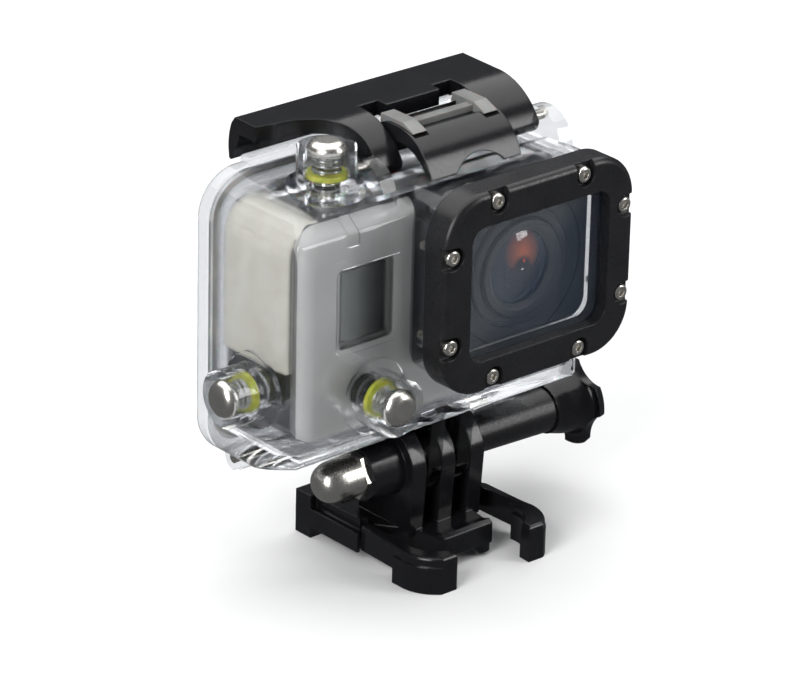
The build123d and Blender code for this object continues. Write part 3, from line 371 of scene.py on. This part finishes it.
MATERIALS = {
    "black_plastic": moulded("black_plastic", (0.006, 0.006, 0.007), (0.14, 0.24), relief_mm=0.002,
                             edge_mm=0.35, Specular_IOR_Level=0.35),
    "black_satin": moulded("black_satin", (0.009, 0.009, 0.010), (0.26, 0.38), relief_mm=0.004,
                           edge_mm=0.3, Specular_IOR_Level=0.35),
    "clear_plastic": clear("clear_plastic", (0.60, 0.615, 0.635), 0.72, (0.0, 0.02)),
    "frosted_plastic": moulded("frosted_plastic", (0.22, 0.22, 0.215), (0.30, 0.45), edge_mm=0.2,
                               Transmission_Weight=0.25, Subsurface_Weight=0.3,
                               Subsurface_Scale=1.0 * MM),
    "port_glass": port_glass_material(),
    "lens_glass": lens_material(),
    "steel": metal("steel", (0.78, 0.75, 0.69), (0.20, 0.32)),
    "spring_steel": metal("spring_steel", (0.62, 0.62, 0.62), (0.18, 0.34), scratch_mm=0.08),
    "silver_cover": moulded("silver_cover", (0.66, 0.65, 0.62), (0.34, 0.46), grain_mm=0.12,
                            relief_mm=0.004, mottling=0.03, tint=lens_panel),
    "camera_grey": moulded("camera_grey", (0.030, 0.031, 0.036), (0.40, 0.55), grain_mm=0.2,
                           relief_mm=0.008),
    "lens_grey": moulded("lens_grey", (0.055, 0.057, 0.064), (0.35, 0.5), grain_mm=0.2,
                         relief_mm=0.006, mottling=0.08, tint=lens_rings),
    "display": display_material(),
    "display_window": clear("display_window", (0.85, 0.87, 0.87), 0.5, (0.0, 0.02)),
    "washer_yellow": washer_material(),
    "o_ring_rubber": moulded("o_ring_rubber", (0.02, 0.02, 0.02), (0.5, 0.7), grain_mm=0.15),
    "white_gasket": moulded("white_gasket", (0.78, 0.78, 0.76), (0.5, 0.65), grain_mm=0.3,
                            Subsurface_Weight=0.15, Subsurface_Scale=0.8 * MM),
    "circuit": circuit_material(),
    "battery_wrap": moulded("battery_wrap", (0.10, 0.10, 0.11), (0.3, 0.4), grain_mm=0.8),
    "felt": felt_material(),
}


LENS_PARTS = ("camera_lens_surround", "camera_lens_barrel", "camera_lens_ring")


def paint():
    """Every CAD node takes the finish of its slot in the record, and the lens parts their own grey."""
    for part in frame["record"]["subparts"]:
        node = NODES[part["node"]]
        node.data.materials.clear()
        finish = "lens_grey" if part["node"] in LENS_PARTS else part["material_slot"]
        node.data.materials.append(MATERIALS[finish])
        node.data.shade_smooth()


# ---------------------------------------------------------------- pieces made here
def mesh_object(name, mesh, material, body):
    """A finished piece that rides on a body."""
    piece = bpy.data.objects.new(name, mesh)
    bpy.context.scene.collection.objects.link(piece)
    piece.data.materials.append(MATERIALS[material])
    for face in piece.data.polygons:
        face.use_smooth = True
    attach(piece, body)
    return piece


def coil(name, push):
    """Coil spring between the washer and the button's head, in place of its plain CAD tube."""
    low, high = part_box(f"{name}_spring")
    centre = (low + high) / 2
    inward = push.normalized()
    long_axis = [abs(c) for c in inward].index(1.0)
    length = (high - low)[long_axis]
    radius = max((high - low)[i] for i in range(3) if i != long_axis) / 2
    wire = 0.26 * MM
    turns = 4.5
    flat_turns = 0.7            # at each end
    steps_per_turn = 40
    ring_points = 10
    side = inward.orthogonal().normalized()
    other = inward.cross(side)
    start = centre + inward * (length / 2 - wire)     # at the washer
    bm = bmesh.new()
    rings = []
    count = int(turns * steps_per_turn)
    for index in range(count + 1):
        t = index / count
        # the end turns lie flat, the middle ones are open
        climb = max(0.0, min(1.0, (t * turns - flat_turns) / (turns - 2 * flat_turns)))
        angle = 2 * math.pi * turns * t
        out = side * math.cos(angle) + other * math.sin(angle)
        middle = start + out * (radius - wire) - inward * (climb * (length - 2 * wire))
        ring = []
        for k in range(ring_points):
            around = 2 * math.pi * k / ring_points
            offset = (out * math.cos(around) + inward * math.sin(around)) * wire
            ring.append(bm.verts.new(middle + offset))
        rings.append(ring)
    for first, second in zip(rings, rings[1:]):
        for k in range(ring_points):
            n = (k + 1) % ring_points
            bm.faces.new((first[k], first[n], second[n], second[k]))
    bm.faces.new(rings[0])
    bm.faces.new(reversed(rings[-1]))
    bmesh.ops.recalc_face_normals(bm, faces=bm.faces)
    mesh = bpy.data.meshes.new(f"{name}_spring_coil")
    bm.to_mesh(mesh)
    bm.free()
    piece = mesh_object(f"{name}_spring_coil", mesh, "spring_steel", "housing")
    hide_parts(f"{name}_spring")
    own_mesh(piece)


def felt_strip():
    """Anti-fog felt beside the camera, bent over its top corner, with creases where it bends."""
    low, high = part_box("antifog_insert")
    camera_low, camera_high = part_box("camera_body")
    clearance = 0.15 * MM           # to the camera's side
    thick = camera_low.x - low.x - clearance
    corner = 4.2 * MM
    outside = 0.25 * MM
    left = low.x + outside
    top = high.z - outside
    # middle line of the strip: up the side, round the corner, along the top
    path = []
    side_steps, bend_steps, top_steps = 44, 22, 16
    bend = corner + thick / 2
    line_x = left + thick / 2
    line_z = top - thick / 2
    for i in range(side_steps):
        z = low.z + (line_z - bend - low.z) * i / side_steps
        path.append((Vector((line_x, 0, z)), Vector((-1, 0, 0))))
    for i in range(bend_steps):
        a = math.pi / 2 * i / bend_steps
        out = Vector((-math.cos(a), 0, math.sin(a)))
        path.append((Vector((line_x + bend, 0, line_z - bend)) + out * bend, out))
    for i in range(top_steps + 1):
        x = line_x + bend + (high.x - line_x - bend) * i / top_steps
        path.append((Vector((x, 0, line_z)), Vector((0, 0, 1))))
    across = 30
    around = 2 * across + 2
    crease_depth = 0.90 * MM
    lump_depth = 0.40 * MM
    crease_reach = 13               # steps of the path on each side of the bend
    edge_thickness = 0.30           # of the full thickness
    bm = bmesh.new()
    rows = []
    for step, (point, out) in enumerate(path):
        row = []
        for k in range(around):
            top_side = k <= across
            u = k / across if top_side else (around - 1 - k) / across
            y = low.y + (high.y - low.y) * (0.02 + 0.96 * u)
            edge = min(1.0, 5 * u, 5 * (1 - u))
            swell = math.sin(math.pi / 2 * edge)
            half = thick / 2 * (edge_thickness + (1 - edge_thickness) * swell)
            spot = point + out * (half if top_side else -half)
            spot.y = y
            near_bend = math.exp(-((step - side_steps - bend_steps / 2) / crease_reach) ** 2)
            crease = noise.noise(Vector((y * 330, step * 0.28, 3.0))) * near_bend
            lump = noise.noise(Vector((y * 140, step * 0.09, 9.0)))
            if top_side:
                spot -= out * (crease_depth * abs(crease) + lump_depth * abs(lump)) * edge
            row.append(bm.verts.new(spot))
        rows.append(row)
    for first, second in zip(rows, rows[1:]):
        for k in range(around):
            n = (k + 1) % around
            bm.faces.new((first[k], first[n], second[n], second[k]))
    bm.faces.new(rows[0])
    bm.faces.new(reversed(rows[-1]))
    bmesh.ops.triangulate(bm, faces=[f for f in bm.faces if len(f.verts) > 4])
    bmesh.ops.recalc_face_normals(bm, faces=bm.faces)
    mesh = bpy.data.meshes.new("antifog_felt")
    bm.to_mesh(mesh)
    bm.free()
    piece = mesh_object("antifog_felt", mesh, "felt", "housing")
    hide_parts("antifog_insert")


# ---------------------------------------------------------------- studio
def floor_material():
    surface = Surface("floor")
    speck = surface.noise(30.0, detail=3)
    tone = surface.mix(surface.spread(speck, 0, 1), (0.76, 0.76, 0.76), (0.78, 0.78, 0.78))
    surface.link(tone, "Base Color")
    surface.link(surface.spread(speck, 0.85, 0.95), "Roughness")
    return surface.set(Specular_IOR_Level=0.0).done()


def soft_box(name, place, target, width, height, power):
    light = bpy.data.lights.new(name, "AREA")
    light.shape = "RECTANGLE"
    light.size = width
    light.size_y = height
    light.energy = power
    lamp = bpy.data.objects.new(name, light)
    lamp.location = place
    lamp.rotation_mode = "QUATERNION"
    lamp.rotation_quaternion = (Vector(target) - Vector(place)).to_track_quat("-Z", "Y")
    bpy.context.scene.collection.objects.link(lamp)


def studio():
    """Pale floor, dim world and three soft boxes; the floor is left out of mirror reflections."""
    size = 4.0
    corners = [(-size, -size, 0), (size, -size, 0), (size, size, 0), (-size, size, 0)]
    mesh = bpy.data.meshes.new("floor")
    mesh.from_pydata(corners, [], [(0, 1, 2, 3)])
    floor = bpy.data.objects.new("floor", mesh)
    mesh.materials.append(floor_material())
    bpy.context.scene.collection.objects.link(floor)
    floor.visible_glossy = False
    world = bpy.data.worlds.new("studio")
    bpy.context.scene.world = world
    world.use_nodes = True
    background = world.node_tree.nodes["Background"]
    background.inputs["Color"].default_value = (0.92, 0.95, 1.0, 1)
    background.inputs["Strength"].default_value = 0.14
    centre = (cad_box[0] + cad_box[1]) / 2
    soft_box("overhead", (0.1, 0.25, 1.1), centre, 2.2, 1.7, 26.0)
    soft_box("left", (-1.0, -0.35, 0.55), centre, 0.5, 0.9, 13.0)
    soft_box("right", (0.75, -0.85, 0.45), centre, 0.3, 0.8, 6.0)


def aim_camera():
    """The photograph's view: azimuth, elevation and roll, with a long lens."""
    azimuth, elevation, roll = (math.radians(v) for v in (-41.19, 23.91, 1.36))
    distance = 0.8496
    target = Vector((-0.00694, 0.0, 0.0407))
    back = Vector((
        math.sin(azimuth) * math.cos(elevation),
        -math.cos(azimuth) * math.cos(elevation),
        math.sin(elevation),
    ))
    right = Vector((0, 0, 1)).cross(back).normalized()
    up = back.cross(right)
    turned_right = right * math.cos(roll) + up * math.sin(roll)
    turned_up = up * math.cos(roll) - right * math.sin(roll)
    camera = bpy.data.cameras.new("camera")
    camera.sensor_width = 36.0
    camera.lens = 218.7
    camera.clip_start, camera.clip_end = 0.05, 20.0
    holder = bpy.data.objects.new("camera", camera)
    bpy.context.scene.collection.objects.link(holder)
    place = target + back * distance
    rotation = Matrix((turned_right, turned_up, back)).transposed().to_4x4()
    holder.matrix_world = Matrix.Translation(place) @ rotation
    bpy.context.scene.camera = holder


paint()
for button, push in BUTTONS.items():
    coil(button, push)
felt_strip()
studio()
aim_camera()
bpy.context.scene.view_settings.view_transform = "Standard"
